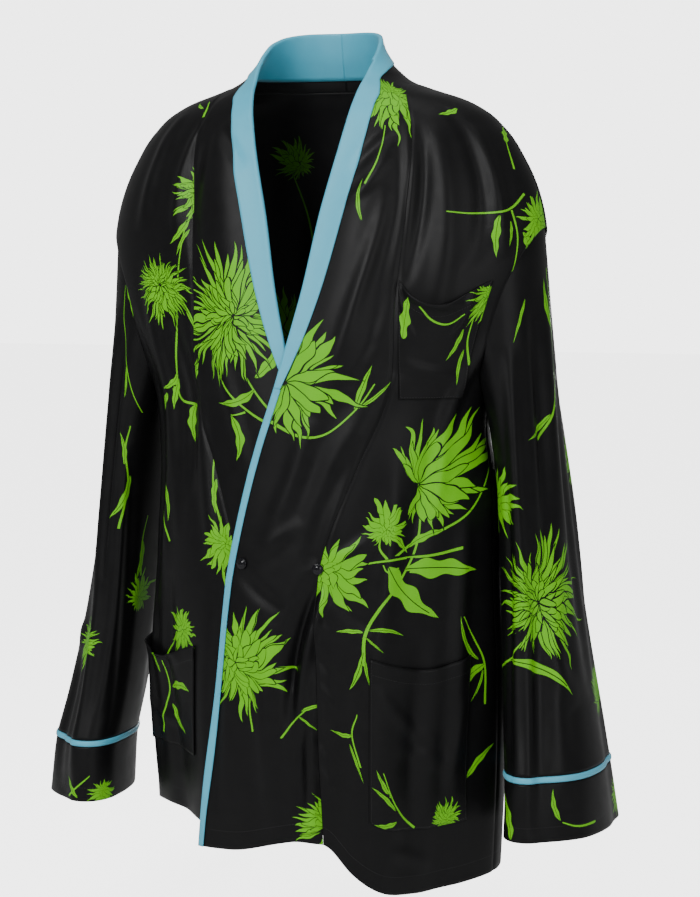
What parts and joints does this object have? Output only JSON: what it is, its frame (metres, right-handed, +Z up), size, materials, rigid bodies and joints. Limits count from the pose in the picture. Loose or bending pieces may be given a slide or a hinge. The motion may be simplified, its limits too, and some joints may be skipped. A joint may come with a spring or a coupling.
{
  "type": "tunic jacket",
  "caption": "Wrap-front silk tunic jacket with wide front bands, pale collar facing and piping, banded cuffs, patch pockets and small buttons, hollow as worn.",
  "frame": {"origin": "middle of the neck at the height of the shoulders, where a figure or a form carries the jacket", "axes": "+X towards the wearer's left, -Y towards the front, +Z up"},
  "size_m": [0.6772, 0.2878, 0.9509],
  "materials": {
    "silk": "satin",
    "trim": "satin",
    "button": "gloss"
  },
  "bodies": {
    "root": {"back": "silk", "front_left": "silk", "front_right": "silk", "band_left": "silk", "band_right": "silk", "sleeve_left": "silk", "sleeve_right": "silk", "cuff_left": "silk", "cuff_right": "silk", "pocket_chest": "silk", "pocket_hip_left": "silk", "pocket_hip_right": "silk", "facing_left": "trim", "facing_right": "trim", "piping_left": "trim", "cuff_piping_left": "trim", "cuff_piping_right": "trim", "button_edge": "button", "button_seam": "button"}
  },
  "joints": []
}
